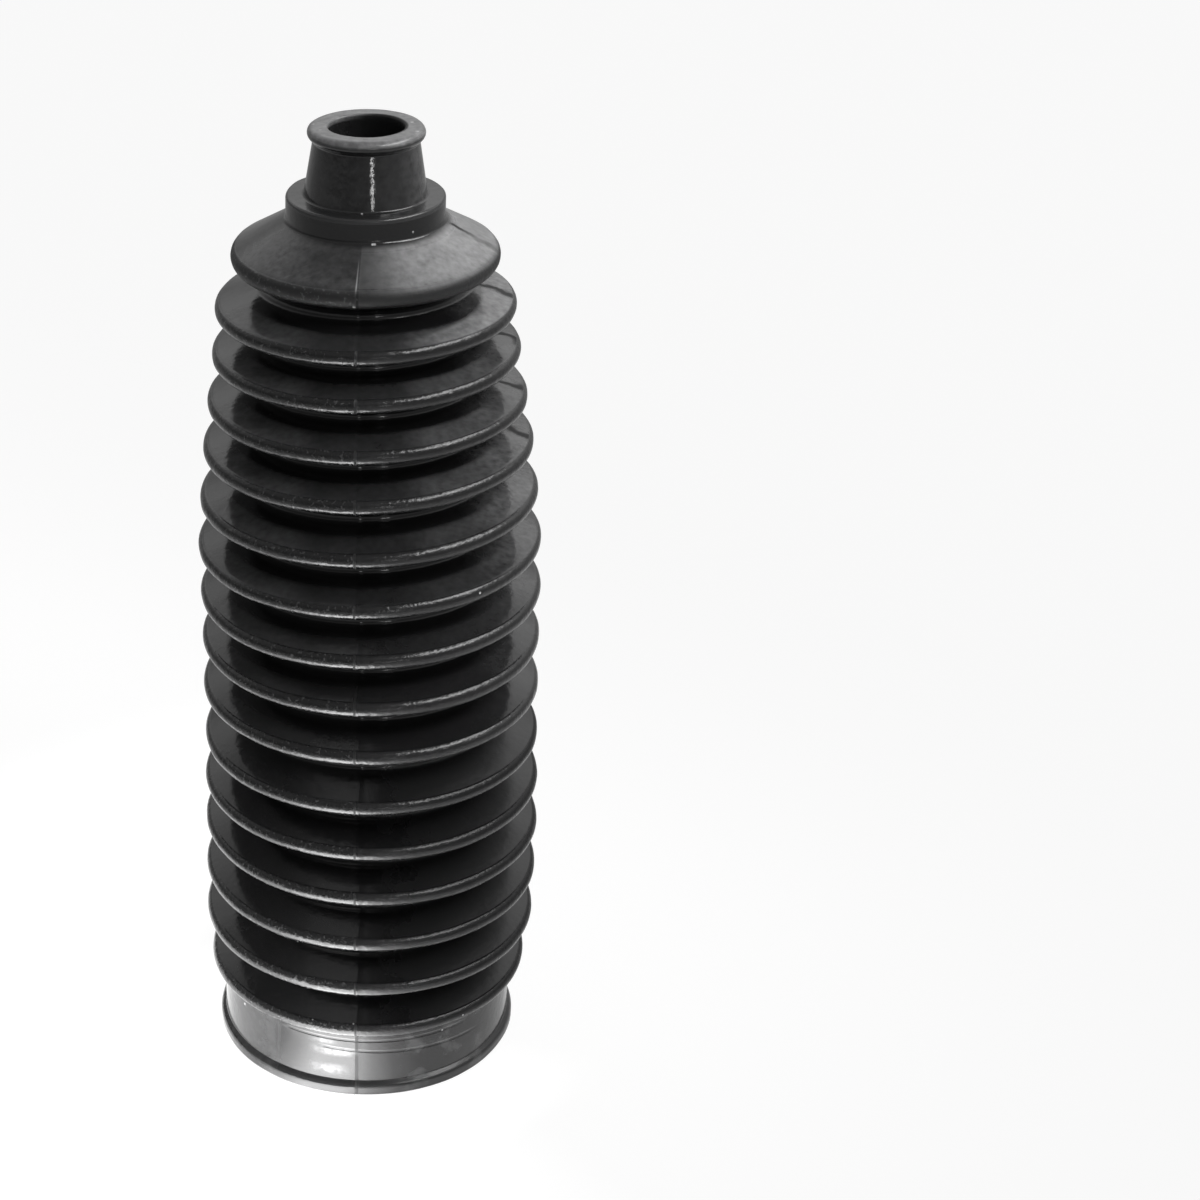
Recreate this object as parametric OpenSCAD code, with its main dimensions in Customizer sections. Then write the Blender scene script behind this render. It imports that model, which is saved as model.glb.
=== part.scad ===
// Bellows boot for a steering rod: one moulding of black rubber, open at both ends.
// It stands on its wide end with its axis on Z. All lengths are in millimetres.

/* [Overall] */
// Length from the cuff's foot to the face of the neck
boot_len = 200; // [185:1:220]

/* [Neck] */
// Bore of the neck, which grips the rod
neck_bore_d = 14.4; // [12:0.2:16]
// Wall of the neck just under its lip
neck_wall = 3; // [2.2:0.1:3.6]
// Wall of the neck at its foot, where it stands on the collar
neck_foot_wall = 4.5; // [3.8:0.1:5]
// Height of the neck above the collar, lip included
neck_h = 13.2; // [10:0.2:18]
// How far the lip stands out from the neck
lip_out = 1; // [0.6:0.1:1.6]
// Thickness of the lip, whose edge is a full round
lip_t = 2.4; // [1.8:0.1:3]

/* [Collar] */
// Outside of the collar
collar_d = 30.4; // [29:0.2:33]
// Height of the collar
collar_h = 5; // [4.6:0.2:7]
// Side wall of the collar
collar_wall = 2.3; // [1.8:0.1:2.8]
// Thickness of the collar's top, which carries the neck
collar_top_t = 2.4; // [1.8:0.1:2.8]

/* [Bellows] */
// Number of crests
crest_count = 16; // [12:1:18]
// Diameter of the topmost crest, at the foot of the dome
first_crest_d = 51.6; // [48:0.2:54]
// Diameter of the second crest
second_crest_d = 58.2; // [55:0.2:61]
// Number of crests from the topmost one down to the first of full width
shoulder_crest_count = 7; // [4:1:9]
// Diameter of the crest at which the full width starts
shoulder_crest_d = 68.7; // [64:0.1:71]
// Diameter of the widest crest, the last but one
widest_crest_d = 69.5; // [66:0.1:73]
// How far the lowest crest stands out from the cuff below it
last_crest_out = 2.9; // [2.1:0.1:4.4]
// Height of the dome, from the collar's foot to the topmost crest
dome_h = 6.9; // [5:0.1:9]
// How much taller the lowest fold is than the topmost one
fold_growth = 1.5; // [0:0.1:2.4]
// Depth of a fold, from the smaller of its two crests to its root
fold_depth = 8; // [6:0.1:9]
// Depth of the topmost fold, under the dome
first_fold_depth = 6; // [5:0.1:7]
// Rounding of a crest
crest_r = 1.7; // [1.7:0.05:2.1]
// Rounding of the topmost crest, where the dome turns under
first_crest_r = 2.1; // [1.8:0.1:2.6]
// Rounding of a root
root_r = 1.5; // [0.8:0.1:2]
// Wall of the bellows
wall = 1.5; // [1.2:0.05:1.6]

/* [Cuff] */
// Bore of the cuff, which fits over the housing
cuff_bore_d = 56.8; // [54:0.2:58]
// Wall of the cuff under its strap
cuff_wall = 2.2; // [1.8:0.1:2.6]
// Height of the cuff, from its foot to the fillet under the lowest fold
cuff_h = 14.2; // [11:0.2:18]
// Rise of the lowest fold's underside, from the fillet at the top of the cuff
underside_rise = 0.2; // [0:0.1:3]
// Height of the rim that keeps the strap on
rim_h = 2.8; // [2:0.1:4]
// How far the rim stands out from the cuff
rim_out = 1.1; // [0.8:0.1:1.8]

/* [Edges] */
// Rounding of the outer edges of collar and rim
edge_r = 0.6; // [0.3:0.1:0.9]
// Rounding of the mouths of both bores
mouth_r = 0.5; // [0.3:0.1:0.8]
// Fillets of neck, lip and rim
fillet_r = 0.5; // [0.3:0.1:0.8]
// Fillets where the collar meets the dome and the lowest fold meets the cuff
foot_fillet_r = 1; // [0.6:0.1:1.5]

/* [Hidden] */

rubber_black = [0.09, 0.09, 0.1];

// Widest angle of one step along an arc, and the least length of a step
arc_angle = 18;
least_step = 0.25;
round_fn = 144;

neck_bore_r = neck_bore_d / 2;
neck_r = neck_bore_r + neck_wall;
neck_foot_r = neck_bore_r + neck_foot_wall;
collar_r = collar_d / 2;
collar_top_z = boot_len - neck_h;
collar_foot_z = collar_top_z - collar_h;
collar_roof_z = collar_top_z - collar_top_t;
cuff_bore_r = cuff_bore_d / 2;
cuff_r = cuff_bore_r + cuff_wall;
rim_r = cuff_r + rim_out;
last_crest_d = 2 * (cuff_r + last_crest_out);
first_crest_z = collar_foot_z - dome_h;
last_crest_z = cuff_h + foot_fillet_r + underside_rise + crest_r;

// A corner is [radius from the axis, height, rounding]: the centre and the size of the circle that
// rounds it. The rounding is positive on an edge and negative in a fillet.

last_crest = crest_count - 1;

function crest_radius(i) = lookup(i, [
    [0, first_crest_d],
    [1, second_crest_d],
    [shoulder_crest_count - 1, shoulder_crest_d],
    [last_crest - 1, widest_crest_d],
    [last_crest, last_crest_d]
]) / 2;

// The folds get taller towards the cuff by equal steps
function crest_z(i) =
    let (mean_fold = (first_crest_z - last_crest_z) / last_crest)
    first_crest_z - i * mean_fold + fold_growth * i * (last_crest - i) / (2 * (last_crest - 1));

function crest(i) =
    let (r = i == 0 ? first_crest_r : crest_r)
    [crest_radius(i) - r, crest_z(i), r];

// Root of the fold between crests i and i + 1
function root(i) =
    let (
        depth = i == 0 ? first_fold_depth : fold_depth,
        bottom_r = min(crest_radius(i), crest_radius(i + 1)) - depth
    )
    [bottom_r + root_r, (crest_z(i) + crest_z(i + 1)) / 2, -root_r];

collar_foot = [collar_r + foot_fillet_r, collar_foot_z + foot_fillet_r, -foot_fillet_r];
cuff_top = [cuff_r + foot_fillet_r, cuff_h, -foot_fillet_r];
folds = [for (i = [0:last_crest]) each i < last_crest ? [crest(i), root(i)] : [crest(i)]];

// The same corner on the other side of a wall
function inside(corner, t) = [corner.x, corner.y, t - corner.z];

function reversed(list) = [for (i = [len(list) - 1:-1:0]) list[i]];

neck_outside = [
    [neck_bore_r + mouth_r, boot_len - mouth_r, mouth_r],
    [neck_r + lip_out - lip_t / 2, boot_len - lip_t / 2, lip_t / 2],
    [neck_r + fillet_r, boot_len - lip_t - fillet_r, -fillet_r],
    [neck_foot_r + fillet_r, collar_top_z + fillet_r, -fillet_r],
    [collar_r - edge_r, collar_top_z - edge_r, edge_r]
];

cuff_outside = [
    [cuff_r + fillet_r, rim_h + fillet_r, -fillet_r],
    [rim_r - edge_r, rim_h - edge_r, edge_r],
    [rim_r - edge_r, edge_r, edge_r],
    [cuff_bore_r + mouth_r, mouth_r, mouth_r]
];

cuff_inside = [
    [cuff_bore_r + foot_fillet_r, cuff_h + wall, foot_fillet_r]
];

neck_inside = [
    [collar_r - collar_wall - foot_fillet_r, collar_roof_z - foot_fillet_r, -foot_fillet_r],
    [neck_bore_r + mouth_r, collar_roof_z + mouth_r, mouth_r]
];

// All corners of the half section, in order round the wall: down the outside and up the inside
corners = concat(
    neck_outside,
    [collar_foot],
    folds,
    [cuff_top],
    cuff_outside,
    cuff_inside,
    [for (corner = reversed(folds)) inside(corner, wall)],
    [inside(collar_foot, collar_wall)],
    neck_inside
);

// Angle at which the straight wall from corner a to corner b faces
function facing(a, b) =
    let (way = [b.x - a.x, b.y - a.y])
    atan2(way.y, way.x) + acos((a.z - b.z) / norm(way));

// Points of one rounded corner, from the wall before it to the wall after it
function rounding(corner, from, to) =
    let (
        turn = to - from,
        sweep = turn - 360 * round(turn / 360),
        arc_len = abs(corner.z * sweep) * PI / 180,
        steps = max(1, min(ceil(abs(sweep) / arc_angle), ceil(arc_len / least_step)))
    )
    [for (i = [0:steps])
        let (angle = from + sweep * i / steps)
        [corner.x + corner.z * cos(angle), corner.y + corner.z * sin(angle)]];

function rounded(loop) =
    let (
        n = len(loop),
        face = [for (i = [0:n - 1]) facing(loop[i], loop[(i + 1) % n])]
    )
    [for (i = [0:n - 1]) each rounding(loop[i], face[(i + n - 1) % n], face[i])];

module bellows_boot() {
    color(rubber_black)
        rotate_extrude($fn = round_fn)
            polygon(rounded(corners));
}

bellows_boot();
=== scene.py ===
import math

import bmesh
import bpy
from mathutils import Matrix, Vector


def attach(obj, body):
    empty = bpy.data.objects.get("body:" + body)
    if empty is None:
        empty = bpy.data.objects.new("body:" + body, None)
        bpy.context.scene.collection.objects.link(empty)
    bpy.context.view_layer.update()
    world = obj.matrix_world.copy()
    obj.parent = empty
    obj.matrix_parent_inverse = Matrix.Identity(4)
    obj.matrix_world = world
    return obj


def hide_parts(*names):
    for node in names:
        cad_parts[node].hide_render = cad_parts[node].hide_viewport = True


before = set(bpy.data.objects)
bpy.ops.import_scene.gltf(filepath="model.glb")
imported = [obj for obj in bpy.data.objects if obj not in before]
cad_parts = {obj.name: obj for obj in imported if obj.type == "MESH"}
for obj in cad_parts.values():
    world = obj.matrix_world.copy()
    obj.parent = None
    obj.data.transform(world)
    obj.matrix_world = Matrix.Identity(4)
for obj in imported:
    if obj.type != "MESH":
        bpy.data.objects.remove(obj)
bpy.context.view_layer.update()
print("frame loaded")

mm = 0.001
tiny = 0.01 * mm


class Wire:  # one output of a node, so that shader maths reads as plain maths
    def __init__(self, tree, socket=None):
        self.tree = tree
        self.socket = socket

    def node(self, kind, settings=None, inputs=None, output=0):
        made = self.tree.nodes.new(kind)
        for name, value in (settings or {}).items():
            if name == "stops":
                ramp = made.color_ramp.elements
                while len(ramp) < len(value):
                    ramp.new(0.5)
                for stop, (place, shade) in zip(ramp, value):
                    stop.position = place
                    stop.color = (shade, shade, shade, 1)
            else:
                setattr(made, name, value)
        for key, value in (inputs or {}).items():
            if isinstance(value, Wire):
                self.tree.links.new(value.socket, made.inputs[key])
            else:
                made.inputs[key].default_value = value
        return Wire(self.tree, made.outputs[output] if made.outputs else None)

    def __getitem__(self, name):  # another output of the same node
        return Wire(self.tree, self.socket.node.outputs[name])

    def __add__(self, other):
        return self.node("ShaderNodeMath", {"operation": "ADD"}, {0: self, 1: other})

    def __radd__(self, other):
        return self.node("ShaderNodeMath", {"operation": "ADD"}, {0: other, 1: self})

    def __sub__(self, other):
        return self.node("ShaderNodeMath", {"operation": "SUBTRACT"}, {0: self, 1: other})

    def __rsub__(self, other):
        return self.node("ShaderNodeMath", {"operation": "SUBTRACT"}, {0: other, 1: self})

    def __mul__(self, other):
        return self.node("ShaderNodeMath", {"operation": "MULTIPLY"}, {0: self, 1: other})

    def __rmul__(self, other):
        return self.node("ShaderNodeMath", {"operation": "MULTIPLY"}, {0: other, 1: self})


def step(value, low, high):  # 0 below low, 1 above high, smooth in between
    return value.node("ShaderNodeMapRange", {"interpolation_type": "SMOOTHSTEP"},
                      {"Value": value, "From Min": low, "From Max": high})


def band(value, middle, half, soft):  # 1 within half of the middle, 0 beyond soft more
    away = value.node("ShaderNodeMath", {"operation": "ABSOLUTE"}, {0: value - middle})
    return 1 - step(away - half, 0, soft)


def angleAround(place):  # degrees round from the front, positive to the right
    apart = place.node("ShaderNodeSeparateXYZ", {}, {0: place}, "X")
    turn = place.node("ShaderNodeMath", {"operation": "ARCTAN2"}, {0: apart, 1: apart["Y"] * -1})
    return turn * (180 / math.pi)


def newMaterial(name):
    material = bpy.data.materials.new(name)
    material.use_nodes = True
    material.node_tree.nodes.clear()
    return material, Wire(material.node_tree)


photoView = {
    "back": 0.496,        # how far in front of the boot's axis the camera stands
    "height": 0.356,
    "lookDown": 27.26,    # degrees below the horizon
    "lens": 82.44,
    "sideShift": 0.1929,  # the boot stands left of the picture's middle
}


def makeCamera(view):
    bpy.ops.object.camera_add(
        location=(0, -view["back"], view["height"]),
        rotation=(math.radians(90 - view["lookDown"]), 0, 0))
    camera = bpy.context.object
    camera.name = "photoCamera"
    camera.data.sensor_width = 36
    camera.data.lens = view["lens"]
    camera.data.shift_x = view["sideShift"]
    camera.data.clip_start = 0.01
    bpy.context.scene.camera = camera


makeCamera(photoView)
print("camera placed")


boot = {
    # radius and height of each crest, from the dome down, in millimetres
    "crests": [
        (25.8, 174.9), (29.07, 164.7), (29.98, 155.5), (31.27, 145.7),
        (32.52, 136.1), (33.51, 125.4), (34.3, 115.0), (34.36, 104.2),
        (34.3, 93.7), (34.4, 82.9), (34.43, 71.4), (34.67, 60.9),
        (34.76, 50.3), (34.77, 39.4), (34.7, 28.45), (33.47, 17.2),
    ],
    "firstCrestRound": 2.1,
    "crestRound": 1.7,
    "rootRound": 1.5,
    "firstFoldDepth": 6,
    "foldDepth": 8,
    "wall": 1.5,
    "length": 200,
    "boreRadius": 7.2,
    "lipRadius": 11.2,
    "lipRound": 1.2,
    "neckRadius": 10.2,
    "neckFootRadius": 11.7,
    "neckFillet": 0.5,
    "collarRadius": 15.2,
    "collarTop": 186.8,
    "collarFoot": 181.8,
    "collarRound": 0.6,
    "collarWall": 2.3,
    "collarRoof": 2.4,
    "footFillet": 1,      # at the feet of the collar and of the lowest fold
    "cuffBoreRadius": 28.4,
    "cuffRadius": 30.6,
    "cuffTop": 14.2,
    "rimRadius": 31.7,
    "rimTop": 2.8,
    "rimRound": 1.3,
    "rimFillet": 0.4,
    "mouthRound": 0.5,
    # the widest turn between two points of an arc, in degrees, and their least distance
    "outsideTurn": 12,
    "insideTurn": 28,
    "shortest": 0.12,
    "steps": 128,         # round the axis
    "seamAngle": -4.6,    # degrees round from the front, to the left
    "seamWidth": 0.2,
    "seamHeight": 0.1,
    # grain of the ripples in metres, and their height in millimetres
    "unevenness": [(0.02, 0.35), (0.006, 0.12)],
    # how the soft boot stands: height and drift to the right in millimetres, lean to the left
    # in degrees
    "stance": [
        (0, -0.47, 0), (8, -0.4, 0), (17.2, -0.1, -0.1), (28.45, 0.22, -0.6), (39.4, 0.48, -0.6),
        (50.3, 0.63, -1.0), (60.9, 0.63, -0.3), (71.4, 0.62, 0.2), (82.9, 0.51, 0.2),
        (93.7, 0.51, 0.4), (104.2, 0.5, 1.44), (115, 0.25, 1.9), (125.4, 0.1, 2.5),
        (136.1, 0, 1.97), (145.7, -0.2, 2.03), (155.5, -0.48, 1.58), (164.7, -0.58, 1.5),
        (174.9, -0.57, 0.48), (184, -0.57, 0.2), (200, -0.42, 0),
    ],
}


def outlineCorners(size):
    # each corner is the centre and the size of the circle that rounds it: + an edge, - a fillet
    crests = [(r, z, size["crestRound"] if i else size["firstCrestRound"])
              for i, (r, z) in enumerate(size["crests"])]
    folds = []
    for i, (r, z, rounding) in enumerate(crests):
        folds.append((r - rounding, z, rounding))
        if i < len(crests) - 1:
            nextRadius, nextHeight = crests[i + 1][:2]
            depth = size["foldDepth"] if i else size["firstFoldDepth"]
            root = min(r, nextRadius) - depth
            folds.append((root + size["rootRound"], (z + nextHeight) / 2, -size["rootRound"]))
    top, wall, foot, mouth = size["length"], size["wall"], size["footFillet"], size["mouthRound"]
    lip, collar, rim = size["lipRound"], size["collarRound"], size["rimRound"]
    neckFillet, rimFillet = size["neckFillet"], size["rimFillet"]
    collarWall, collarRoof = size["collarWall"], size["collarTop"] - size["collarRoof"]
    outside = [
        (size["boreRadius"] + mouth, top - mouth, mouth),
        (size["lipRadius"] - lip, top - lip, lip),
        (size["neckRadius"] + neckFillet, top - 2 * lip - neckFillet, -neckFillet),
        (size["neckFootRadius"] + neckFillet, size["collarTop"] + neckFillet, -neckFillet),
        (size["collarRadius"] - collar, size["collarTop"] - collar, collar),
        (size["collarRadius"] + foot, size["collarFoot"] + foot, -foot),
        *folds,
        (size["cuffRadius"] + foot, size["cuffTop"], -foot),
        (size["cuffRadius"] + rimFillet, size["rimTop"] + rimFillet, -rimFillet),
        (size["rimRadius"] - rim, size["rimTop"] - rim, rim),
        (size["rimRadius"] - mouth, mouth, mouth),
        (size["cuffBoreRadius"] + mouth, mouth, mouth),
    ]
    inside = [
        (size["cuffBoreRadius"] + foot, size["cuffTop"] + wall, foot),
        *[(x, z, wall - rounding) for x, z, rounding in reversed(folds)],
        (size["collarRadius"] + foot, size["collarFoot"] + foot, collarWall + foot),
        (size["collarRadius"] - collarWall - foot, collarRoof - foot, -foot),
        (size["boreRadius"] + mouth, collarRoof + mouth, mouth),
    ]
    return outside, inside


def facing(a, b):  # the way that the straight wall between two corners faces
    way = math.hypot(b[0] - a[0], b[1] - a[1])
    return math.atan2(b[1] - a[1], b[0] - a[0]) + math.acos((a[2] - b[2]) / way)


def roundOff(corners, firstInside, size):
    # the outline's points, and for each whether it is on a crest's round edge
    points, rolls = [], []
    count = len(corners)
    for i, (x, z, rounding) in enumerate(corners):
        start = facing(corners[i - 1], corners[i])
        turn = facing(corners[i], corners[(i + 1) % count]) - start
        turn -= 2 * math.pi * round(turn / (2 * math.pi))
        isOutside = i < firstInside
        isCrest = isOutside and rounding >= size["crestRound"]
        widest = math.radians(size["outsideTurn"] if isOutside else size["insideTurn"])
        byTurn, byLength = abs(turn) / widest, abs(turn * rounding) / size["shortest"]
        pieces = max(1, math.ceil(min(byTurn, byLength)))
        for k in range(pieces + 1):
            angle = start + turn * k / pieces
            points.append((x + rounding * math.cos(angle), z + rounding * math.sin(angle)))
            rolls.append(isCrest and math.cos(angle) > 0.5)
        if i == firstInside - 1:
            outsidePoints = len(points)
    return points, outsidePoints, rolls


def addOutline(name, points, angle):
    side = (math.sin(angle), -math.cos(angle))
    placed = [Vector((r * side[0], r * side[1], z)) * mm for r, z in points]
    bpy.ops.object.select_all(action="DESELECT")
    bpy.ops.mesh.primitive_plane_add(size=mm, location=placed[0])
    bpy.context.object.name = name
    bpy.ops.object.transform_apply(location=True, rotation=True, scale=True)
    bpy.ops.object.mode_set(mode="EDIT")
    bpy.ops.mesh.merge(type="CENTER")
    for before, after in zip(placed, placed[1:] + placed[:1]):
        bpy.ops.mesh.extrude_region_move(TRANSFORM_OT_translate={"value": after - before})
    bpy.ops.object.mode_set(mode="OBJECT")
    return bpy.context.object


def selectVertices(piece, chosen):  # chosen takes a vertex's place and whether it is outside
    bpy.ops.object.mode_set(mode="EDIT")
    bpy.ops.mesh.select_mode(type="VERT")
    bpy.ops.mesh.select_all(action="DESELECT")
    mesh = bmesh.from_edit_mesh(piece.data)
    groups = mesh.verts.layers.deform.verify()
    outside = piece.vertex_groups["outside"].index
    for vertex in mesh.verts:
        vertex.select = chosen(vertex.co, outside in vertex[groups])
    mesh.select_flush_mode()
    bmesh.update_edit_mesh(piece.data)


def raiseSeams(piece, size):
    angle = math.radians(size["seamAngle"])
    across = Vector((math.cos(angle), math.sin(angle), 0))

    def onSeam(place, outside):
        return abs(place.dot(across)) < tiny

    def onRaisedSeam(place, outside):
        return outside and onSeam(place, outside) and place.z < size["collarFoot"] * mm

    selectVertices(piece, onSeam)
    bpy.ops.mesh.select_mode(type="EDGE")
    bpy.ops.mesh.bevel(offset=size["seamWidth"] * mm, segments=2, affect="EDGES")
    selectVertices(piece, onRaisedSeam)
    bpy.ops.transform.shrink_fatten(value=size["seamHeight"] * mm)
    bpy.ops.object.mode_set(mode="OBJECT")


def stanceAt(rows, height):  # drift and lean, between the rows of the table
    for low, high in zip(rows, rows[1:]):
        if height <= high[0]:
            share = (height - low[0]) / (high[0] - low[0])
            return [a + share * (b - a) for a, b in zip(low[1:], high[1:])]
    return rows[-1][1:]


def lean(piece, size):
    # a cage round the boot shifts and tilts each level of it
    width, length, levels = 80, size["length"], 21
    bpy.ops.object.add(type="LATTICE", location=(0, 0, length / 2 * mm))
    cage = bpy.context.object
    cage.scale = (width * mm, width * mm, length * mm)
    cage.data.points_u, cage.data.points_v, cage.data.points_w = 2, 2, levels
    cage.data.interpolation_type_w = "KEY_CATMULL_ROM"
    for point in cage.data.points:
        drift, tilt = stanceAt(size["stance"], (point.co.z + 0.5) * length)
        rise = point.co.x * width * math.tan(math.radians(tilt))
        point.co_deform.x = point.co.x + drift / width
        point.co_deform.z = point.co.z + rise / length
    bpy.ops.object.select_all(action="DESELECT")
    piece.select_set(True)
    bpy.context.view_layer.objects.active = piece
    bpy.ops.object.modifier_add(type="LATTICE")
    piece.modifiers[-1].object = cage
    bpy.ops.object.modifier_apply(modifier=piece.modifiers[-1].name)
    bpy.data.objects.remove(cage)


def makeUneven(piece, unevenness):
    for scale, strength in unevenness:
        clouds = bpy.data.textures.new("unevenness", "CLOUDS")
        clouds.noise_scale = scale
        clouds.noise_depth = 2
        bpy.ops.object.modifier_add(type="DISPLACE")
        change = piece.modifiers[-1]
        change.texture = clouds
        change.texture_coords = "LOCAL"
        change.vertex_group = "outside"
        change.mid_level = 0.5
        change.strength = strength * mm
        bpy.ops.object.modifier_apply(modifier=change.name)


def markRolls(piece):
    # the material reads where the crests' round edges are; after that the groups have no use
    group = piece.vertex_groups["rollEdges"].index
    marks = piece.data.attributes.new("roll", "FLOAT", "POINT")
    for vertex in piece.data.vertices:
        marks.data[vertex.index].value = any(entry.group == group for entry in vertex.groups)
    piece.vertex_groups.clear()


def makeBoot(size):
    outside, inside = outlineCorners(size)
    points, outsidePoints, rolls = roundOff(outside + inside, len(outside), size)
    piece = addOutline("bellowsBoot", points, math.radians(size["seamAngle"]))
    print("outline", len(points), "points")

    rollPoints = [i for i, roll in enumerate(rolls) if roll]
    for groupName, chosen in (("outside", list(range(outsidePoints))), ("rollEdges", rollPoints)):
        piece.vertex_groups.new(name=groupName).add(chosen, 1, "REPLACE")
    bpy.ops.object.mode_set(mode="EDIT")
    bpy.ops.mesh.select_all(action="SELECT")
    bpy.ops.mesh.spin(steps=size["steps"], angle=2 * math.pi, center=(0, 0, 0), axis=(0, 0, 1))
    bpy.ops.mesh.select_all(action="SELECT")
    bpy.ops.mesh.remove_doubles(threshold=tiny)
    bpy.ops.mesh.normals_make_consistent(inside=False)
    bpy.ops.object.mode_set(mode="OBJECT")
    raiseSeams(piece, size)
    lean(piece, size)
    makeUneven(piece, size["unevenness"])
    bpy.ops.object.shade_smooth()
    bpy.ops.object.modifier_add(type="WEIGHTED_NORMAL")
    bpy.ops.object.modifier_apply(modifier=piece.modifiers[-1].name)
    markRolls(piece)
    print("boot", len(piece.data.polygons), "faces")
    return piece


rubber = {
    "colour": (0.007, 0.007, 0.0073, 1),
    "bloomColour": (0.5, 0.5, 0.505, 1),     # the pale film that moulded rubber sweats out, and the colour of painted highlights and painted light
    "gloss": 0.17,                           # roughness of the clean folds
    "neckGloss": 0.1,
    # heights between which each zone fades in or out, in millimetres
    "lipFoot": (198.7, 199.3),
    "neckFoot": (186.6, 187.2),
    "domeTop": (181.3, 182.2),
    "domeFoot": (175.9, 177.2),
    "foldsTop": (172.5, 174),
    "foldsFoot": (14.6, 16),
    "cuffTop": (13.8, 14.8),
    "rimTop": (2.9, 3.4),
    # grooves round the cuff: height at the front, rise per degree, angles of both ends
    "grooves": [(13.1, -0.008, -37, 45), (10.5, -0.027, -22, 52)],
    "markAngle": -37.5,   # of the mould mark, a short upright line on the cuff
    # painted highlights on the cuff, in smears: angle, height, half width, half height, share of
    # the pale colour
    "smears": [(-17.5, 12.3, 8, 1, 0.14), (-13, 10, 12, 1.5, 0.24), (-15.5, 5.4, 10, 1.8, 0.16)],
    # white specks, some of them painted highlights (those along the seam and at the collar's foot):
    # angle, height, distance from the axis and size in millimetres, share of the pale colour
    "specks": [
        (104, 200, 8.4, 0.6, 0.8), (-73, 200, 9.4, 0.6, 0.3), (-95, 200, 10.4, 0.6, 0.3),
        (68, 200, 9.7, 0.7, 0.4), (-5.7, 186.9, 12.1, 0.35, 1), (33.6, 183.5, 14.9, 0.4, 0.6),
        (2.8, 182.1, 15.4, 0.45, 1.2), (4.2, 182.1, 15.4, 0.45, 1.2), (-6.0, 173.6, 25.5, 0.5, 2),
        (-5.9, 163.5, 28.8, 0.4, 1), (-5.8, 154.3, 29.7, 0.4, 1), (38.3, 115.9, 34.5, 0.4, 1.6),
        (-32.5, 32.9, 27.2, 0.4, 1.2), (-5.5, 18.8, 32.5, 0.3, 1), (-20.7, 18.6, 32.7, 0.3, 0.5),
        (36.1, 17.1, 33.4, 0.35, 1), (30.4, 12.8, 30.4, 0.4, 0.5), (-58.2, 12.3, 30.9, 0.6, 0.6),
    ],
}


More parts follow.
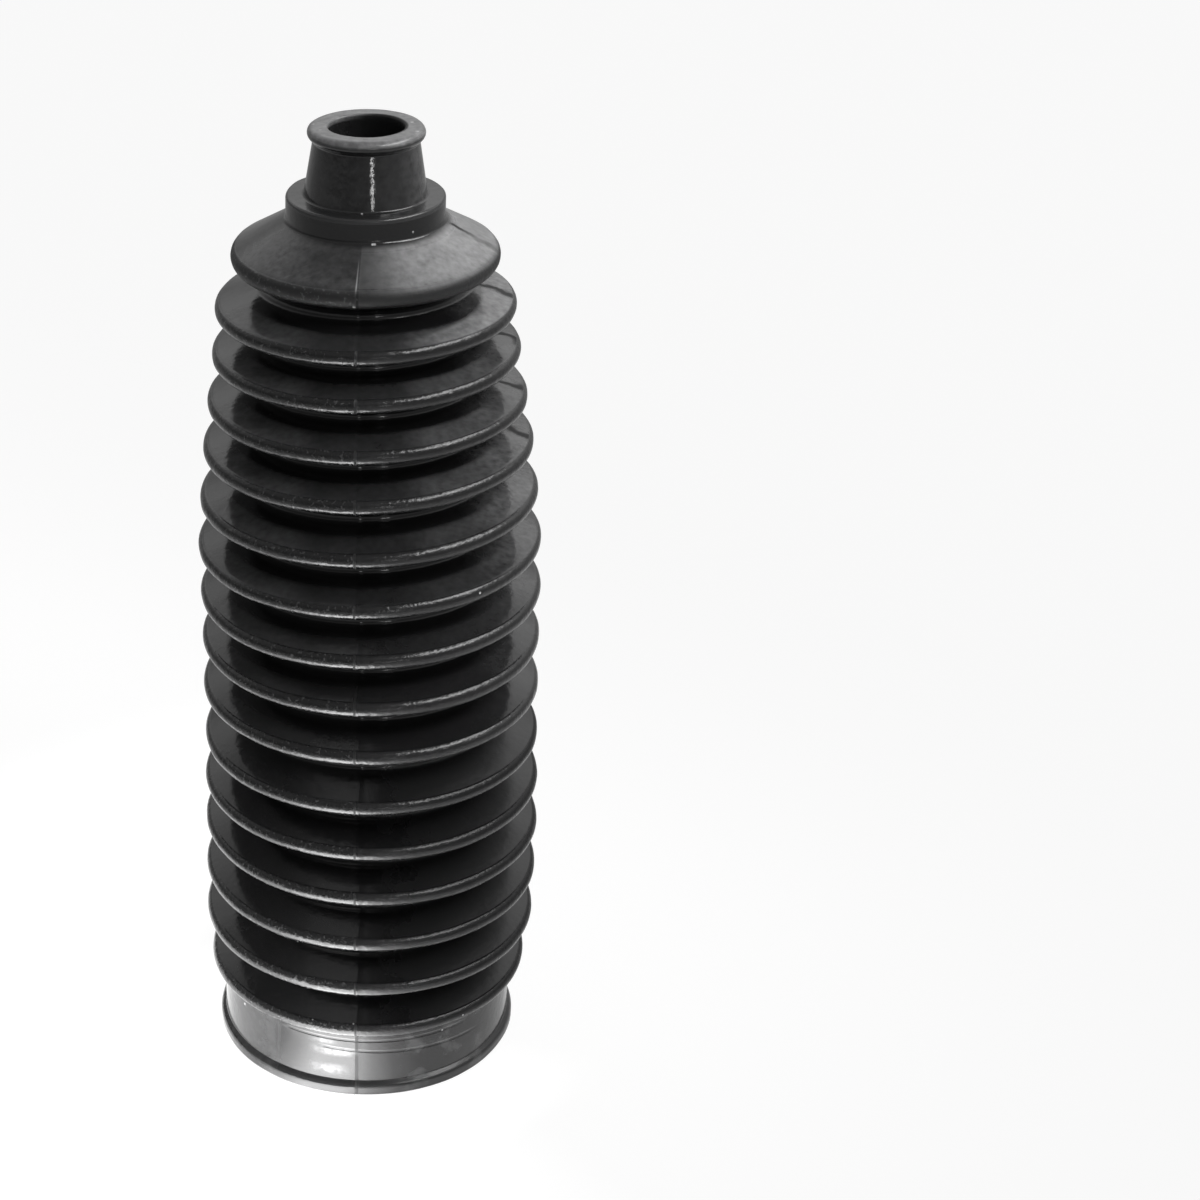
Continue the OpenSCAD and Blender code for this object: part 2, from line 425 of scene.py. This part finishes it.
def makeRubber(look, size):
    material, graph = newMaterial("rubber")
    place = graph.node("ShaderNodeTexCoord", {}, {}, "Object")
    height = graph.node("ShaderNodeSeparateXYZ", {}, {0: place}, "Z") * 1000
    angle = angleAround(place)
    level = graph.node("ShaderNodeVectorMath", {"operation": "MULTIPLY"}, {0: place, 1: (1, 1, 0)})
    radius = graph.node("ShaderNodeVectorMath", {"operation": "LENGTH"}, {0: level}, "Value") * 1000
    normal = graph.node("ShaderNodeTexCoord", {}, {}, "Normal")
    upward = graph.node("ShaderNodeSeparateXYZ", {}, {0: normal}, "Z")
    roll = graph.node("ShaderNodeAttribute", {"attribute_name": "roll"}, {}, "Fac")

    def cloud(scale, detail=4, stretch=(1, 1, 1), turn=(0, 0, 0)):
        spread = graph.node("ShaderNodeMapping", {}, {0: place, "Scale": stretch, "Rotation": turn})
        return graph.node("ShaderNodeTexNoise", {},
                          {"Vector": spread, "Scale": scale, "Detail": detail})

    def above(zoneEdge):
        return step(height, *look[zoneEdge])

    broad, blotches, fine, grain = cloud(45), cloud(170, 6), cloud(700, 4), cloud(1500, 2)
    patches = step(broad, 0.42, 0.62)
    mottle = (fine - 0.5) * 1.2 + (blotches - 0.5) * 0.7
    flecks = step(grain, 0.56, 0.74)
    scratches = step(cloud(110, 3, (1, 4, 1), (0, 0, 0.5)), 0.56, 0.72)

    # zones of the boot
    lip = above("lipFoot")
    neck = above("neckFoot") * (1 - lip)
    dome = above("domeFoot") * (1 - above("domeTop"))
    folds = above("foldsFoot") * (1 - above("foldsTop"))
    faces = folds * (1 - roll)
    cuff = 1 - above("cuffTop")
    rim = 1 - above("rimTop")
    bore = 1 - step(radius, size["boreRadius"], size["boreRadius"] + 0.5)
    # painted highlight along the collar's top outer edge
    collarEdgeHighlight = band(height, 186.3, 0.3, 0.3) * step(radius, 14, 14.8)
    notBehind = band(angle, 0, 110, 60)    # so that both sides meet alike at the back
    right = step(angle, -5, -4) * notBehind
    left = 1 - right
    farRight = step(angle, 40, 64) * notBehind
    farLeft = (1 - step(angle, -62, -50)) * notBehind
    cuffRight = cuff * step(angle, 8, 20) * (1 - step(angle, 50, 60))
    cuffLeft = cuff * (1 - step(angle, -42, -36)) * notBehind
    seam = band(angle * radius, size["seamAngle"] * radius, 8 + 8 * cuff, 10)   # across the front
    # painted highlight along the seam on the dome
    domeSeamHighlight = dome * band(angle, -5.3, 0.1, 0.35) * (1 - step(height, 176.5, 181))
    # painted light on the second crest's right face, outside the shade near its root
    secondCrestLitFace = faces * step(height, 161, 164) * right * step(angle, 5, 40) \
        * step(radius + (angle - 60) * 0.06, 22.7, 23.9)
    # the outer part of the upper folds, outside the shade of the fold above: painted light
    fromEdge = radius - (34.4 - 6 * step(height, 105, 175))
    outerLitFaces = faces * notBehind * step(fromEdge, -5.4, -4) * step(height, 60, 150)
    outerRightLitFaces = outerLitFaces * band(angle, 38, 12, 16) * step(height, 95, 150)
    # the lower folds
    low = folds * (1 - step(height, 76, 78)) * notBehind
    lowRight = low * (1 - roll) * step(angle + (blotches - 0.5) * 60, 10, 14)
    lowRolls = low * roll * step(angle, 4, 34) * step(upward, -0.1, 0.25)
    mark = cuff * band(angle, look["markAngle"], 0.3, 1) * step(height, 3.6, 4.4) \
        * step(blotches, 0.4, 0.5)
    # painted dark reflections: dark lines across the dome and the upper folds, at their right
    wavy = angle + (blotches - 0.5) * 18
    domeDarkReflection = dome * band(wavy - (radius - 16) * 0.35, 79.3, 0.7, 3) \
        * (1 - 0.6 * step(radius, 17, 21))
    foldDarkReflections = faces * step(height, 136.3, 136.6) * step(upward, 0.1, 0.4) \
        * band(wavy + (radius - 26) * 0.9, 89, 0.8, 4)
    darkReflections = domeDarkReflection + foldDarkReflections

    # the pale film, and the painted light and highlights in the same colour: where each lies, its
    # share, and how strongly it is mottled
    filmsAndPaintedLight = [
        (1 - faces * right, 0.01, 0),
        # the right half of the dome is paler: partly a real film, partly painted sheen where the
        # key light falls
        (dome * right, 0.11 + 0.33 * step(angle, -4, 26), 1),
        (dome * left, 0.04 + 0.07 * patches, 2),
        (dome * left * scratches, 0.06, 0),
        # painted highlight along the seam on the dome
        (domeSeamHighlight, 0.5, 0),
        (neck, 0.022 + 0.05 * right * step(angle, 30, 60) * patches, 2),
        # painted highlight on the collar's edge
        (collarEdgeHighlight, 0.05, 0),
        # painted light on the right ends of the fold faces, where the key light falls
        (faces * farRight * (0.15 + 0.85 * step(height, 60, 160)), 0.05 + 0.07 * patches, 2),
        # painted light on the far left of the fold faces
        (faces * farLeft, 0.012, 3),
        # painted light on the outer parts of the upper fold faces
        (outerLitFaces, 0.04 + 0.07 * band(angle, -45, 13, 14), 1),
        (outerRightLitFaces, 0.08, 1),
        (roll * left * flecks, 0.12, 0),
        (cuffRight * step(blotches, 0.5, 0.62), 0.06, 0),
        # painted reflection: the far left of the cuff is paler
        (cuffLeft, 0.03, 2),
    ]
    # painted highlights on the cuff
    for around, highlightHeight, width, tall, share in look["smears"]:
        cuffHighlight = cuff * band(angle, around, 0, width) * band(height, highlightHeight, 0, tall)
        filmsAndPaintedLight.append((cuffHighlight, share, 3))
    # white specks, and painted highlights along the seam and at the collar's foot
    for around, spotHeight, fromAxis, width, share in look["specks"]:
        way = math.radians(around)
        middle = (fromAxis * math.sin(way) * mm, -fromAxis * math.cos(way) * mm, spotHeight * mm)
        away = graph.node("ShaderNodeVectorMath", {"operation": "DISTANCE"},
                          {0: place, 1: middle}, "Value")
        filmsAndPaintedLight.append((1 - step(away, 0.25 * width * mm, 0.75 * width * mm), share, 0))
    # the lip is paler all round; the second crest's right face carries painted light
    paleFilmAndPaintedLight = lip * (0.33 + 0.45 * mottle) + secondCrestLitFace * (0.22 + 0.25 * mottle)
    for where, share, mottling in filmsAndPaintedLight:
        paleFilmAndPaintedLight = paleFilmAndPaintedLight + where * share * (1 + mottling * mottle if mottling else 1)
    # the painted dark reflections take the pale colour away
    paleFilmAndPaintedLight = paleFilmAndPaintedLight * (1 - 0.9 * darkReflections) * (1 - bore)
    colour = graph.node("ShaderNodeMix", {"data_type": "RGBA"},
                        {0: paleFilmAndPaintedLight, 6: look["colour"], 7: look["bloomColour"]}, 2)

    # what makes the rubber more matt than its clean folds, or more glossy
    roughness = look["gloss"] + 0.03 * (fine - 0.5)
    for where, change in [
        (neck + cuff + band(height, 181.7, 0.4, 0.3) * right, look["neckGloss"] - look["gloss"]),
        (dome * right + lip, 0.13),
        (faces, -0.03),
        (roll, 0.05 + 0.3 * step(height, 172, 173.5)),
        (lowRight, 0.17),
        (seam * (roll + cuff), 0.5),
        (bore, 0.3),
        (rim * right, 0.2),
        (mark, 0.3),
        (darkReflections, 0.45),
    ]:
        roughness = roughness + where * change
    # and where a plain matt surface is mixed in, which mirrors nothing
    dull = lowRolls * 0.55 + darkReflections * 0.25

    # relief in millimetres
    relief = fine * (0.05 + 0.1 * roll) + grain * roll * 0.06 + 0.03 * blotches
    for grooveHeight, slope, start, end in look["grooves"]:
        groove = band(height - angle * slope, grooveHeight, 0.1, 0.4) \
            * step(angle, start, start + 6) * (1 - step(angle, end - 12, end))
        relief = relief - groove * 0.1
    bump = graph.node("ShaderNodeBump", {}, {"Height": relief, "Strength": 1, "Distance": 0.001})
    shader = graph.node("ShaderNodeBsdfPrincipled", {}, {
        "Base Color": colour, "Roughness": roughness, "Normal": bump,
    })
    plain = graph.node("ShaderNodeBsdfDiffuse", {}, {"Color": colour, "Normal": bump})
    mixed = graph.node("ShaderNodeMixShader", {}, {0: dull, 1: shader, 2: plain})
    graph.node("ShaderNodeOutputMaterial", {}, {"Surface": mixed})
    return material


bellowsBoot = makeBoot(boot)
bellowsBoot.data.materials.clear()
bellowsBoot.data.materials.append(makeRubber(rubber, boot))
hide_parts("bellows_boot")
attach(bellowsBoot, "root")
print("boot made")


studio = {
    "floorSize": 6,
    "floorColour": (0.8, 0.8, 0.8, 1),
    "ownShading": 0.25,       # share of the floor's own light and shadow that the camera sees
    "paperGlow": 1.15,        # brightness of the rest, which is plain white
    "mirroredFloor": [0.8, 0.35],   # brightness of the floor as the rubber mirrors it, near and far
    "nearAndFar": (0.15, 0.5),      # their distances from the axis in metres
    "mirroredWall": 0.07,     # share of the plain white background that the rubber mirrors
    "darkest": 0.15,          # brightness of the room at its darkest, in front on the left
    "brightest": 1.12,        # and at its brightest, behind on the right
    "darkSide": -40,          # degrees round from the front to the darkest side
    "horizon": 0.36,          # share of the room's brightness that is left near the horizon
    "overhead": 0.16,         # brightness of the ceiling
    # where the room brightens above the horizon and where the ceiling starts, as sines of the rise
    "wallBand": (0.2, 0.42),
    "ceilingBand": (0.55, 0.97),
}


def makeFloor(light):
    bpy.ops.object.select_all(action="DESELECT")
    bpy.ops.mesh.primitive_plane_add(size=light["floorSize"], location=(0, 0, 0))
    floor = bpy.context.object
    floor.name = "floor"
    material, graph = newMaterial("floor")
    cameraRay = graph.node("ShaderNodeLightPath")
    paper = graph.node("ShaderNodeBsdfDiffuse", {}, {"Color": light["floorColour"]})
    place = graph.node("ShaderNodeTexCoord", {}, {}, "Object")
    away = graph.node("ShaderNodeVectorMath", {"operation": "LENGTH"}, {0: place}, "Value")
    near, far = light["mirroredFloor"]
    mirrored = near + step(away, *light["nearAndFar"]) * (far - near)
    paperGlow = light["paperGlow"]
    brightness = cameraRay["Is Glossy Ray"] * (mirrored - paperGlow) + paperGlow
    glow = graph.node("ShaderNodeEmission", {}, {"Color": brightness})
    share = cameraRay * (1 - light["ownShading"]) + cameraRay["Is Glossy Ray"]
    mixed = graph.node("ShaderNodeMixShader", {}, {0: share, 1: paper, 2: glow})
    graph.node("ShaderNodeOutputMaterial", {}, {"Surface": mixed})
    floor.data.materials.append(material)


def makeWorld(light):
    world = bpy.data.worlds.new("studio")
    world.use_nodes = True
    world.node_tree.nodes.clear()
    graph = Wire(world.node_tree)
    bpy.context.scene.world = world
    direction = graph.node("ShaderNodeTexCoord", {}, {}, "Generated")
    dark = math.radians(light["darkSide"])
    away = graph.node("ShaderNodeVectorMath", {"operation": "DOT_PRODUCT"},
                      {0: direction, 1: (-math.sin(dark), math.cos(dark), 0)}, "Value")
    walls = light["darkest"] + (light["brightest"] - light["darkest"]) * (away * 0.5 + 0.5)
    up = graph.node("ShaderNodeSeparateXYZ", {}, {0: direction}, "Z")
    walls = walls * (light["horizon"] + (1 - light["horizon"]) * step(up, *light["wallBand"]))
    ceiling = step(up, *light["ceilingBand"])
    room = walls * (1 - ceiling) + ceiling * light["overhead"]
    cameraRay = graph.node("ShaderNodeLightPath")
    white = cameraRay + cameraRay["Is Glossy Ray"] * light["mirroredWall"]
    sky = graph.node("ShaderNodeBackground", {}, {"Color": room * (1 - white) + white})
    graph.node("ShaderNodeOutputWorld", {}, {"Surface": sky})


# place, what it points at, width and height in metres, brightness, and spread in degrees
lamps = {
    "keyFront": ((0.241, -0.268, 0.52), (0, 0, 0.18), (0.2, 0.3), 17, 23),
    "keyMiddle": ((0.334, -0.135, 0.52), (0, 0, 0.165), (0.2, 0.3), 17, 27),
    "keyBack": ((0.358, 0.038, 0.52), (0, 0, 0.15), (0.2, 0.26), 9, 34),
    "slitLamp": ((0.22, -0.975, 0.165), (0, 0, 0.18), (0.06, 0.08), 18, 180),
}


def addLamp(name, place, target, sizes, brightness, spread):
    way = Vector(target) - Vector(place)
    bpy.ops.object.light_add(type="AREA", location=place,
                             rotation=way.to_track_quat("-Z", "Y").to_euler())
    lamp = bpy.context.object
    lamp.name = name
    lamp.data.shape = "RECTANGLE"
    lamp.data.size, lamp.data.size_y = sizes
    focus = min(1, math.tan(math.radians(spread / 2)) ** 2 / 3)   # a narrow beam needs less power
    lamp.data.energy = brightness * math.pi * sizes[0] * sizes[1] * focus
    lamp.data.spread = math.radians(spread)
    lamp.visible_camera = False


footLight = {
    "reach": 0.16,
    "nearBrightness": 11,    # near the foot, where the cuff mirrors it
    "farBrightness": 10,     # and beyond, where the folds mirror it
    # distances from the axis in metres, at which it starts, changes from near to far, and fades out
    "start": (0.0312, 0.0325),
    "change": (0.044, 0.056),
    "fade": (0.1, 0.15),
    # share of the brightness at angles round from the front, near and far
    "nearShares": [
        (-130, 0.02), (-95, 0.08), (-80, 0.09), (-62, 0.12), (-48, 0.11), (-37, 0.42), (-25, 1),
        (-10, 1), (-4, 0.6), (2, 0.34), (12, 0.12), (25, 0.04), (50, 0.02), (70, 0),
    ],
    "farShares": [
        (-130, 0.05), (-95, 0.14), (-80, 0.13), (-66, 0.2), (-50, 0.4), (-43, 0.75), (-35, 0.9),
        (-20, 1), (-6, 1), (0, 0.36), (8, 0.14), (25, 0.02), (40, 0),
    ],
}


def addFootLight(light):
    # light that falls on the floor in front of the foot, for the cuff and the folds to mirror
    bpy.ops.object.select_all(action="DESELECT")
    bpy.ops.mesh.primitive_circle_add(vertices=48, radius=light["reach"], fill_type="NGON",
                                      location=(0, 0, 0.2 * mm))
    card = bpy.context.object
    card.name = "footLight"
    material, graph = newMaterial("footLight")
    place = graph.node("ShaderNodeTexCoord", {}, {}, "Object")
    distance = graph.node("ShaderNodeVectorMath", {"operation": "LENGTH"}, {0: place}, "Value")
    turn = (angleAround(place) + 180) * (1 / 360)

    def shareAround(shares):
        stops = [((angle + 180) / 360, share) for angle, share in shares]
        return graph.node("ShaderNodeValToRGB", {"stops": stops}, {0: turn})

    beyond = step(distance, *light["change"])
    near = shareAround(light["nearShares"]) * light["nearBrightness"] * (1 - beyond)
    far = shareAround(light["farShares"]) * light["farBrightness"] * beyond
    pool = (near + far) * step(distance, *light["start"]) * (1 - step(distance, *light["fade"]))
    glow = graph.node("ShaderNodeEmission", {}, {"Color": pool})
    clear = graph.node("ShaderNodeBsdfTransparent")
    both = graph.node("ShaderNodeAddShader", {}, {0: glow, 1: clear})
    graph.node("ShaderNodeOutputMaterial", {}, {"Surface": both})
    card.data.materials.append(material)
    card.visible_camera = False


makeFloor(studio)
makeWorld(studio)
for name, values in lamps.items():
    addLamp(name, *values)
addFootLight(footLight)
print("studio lit")

bpy.context.scene.view_settings.view_transform = "Standard"
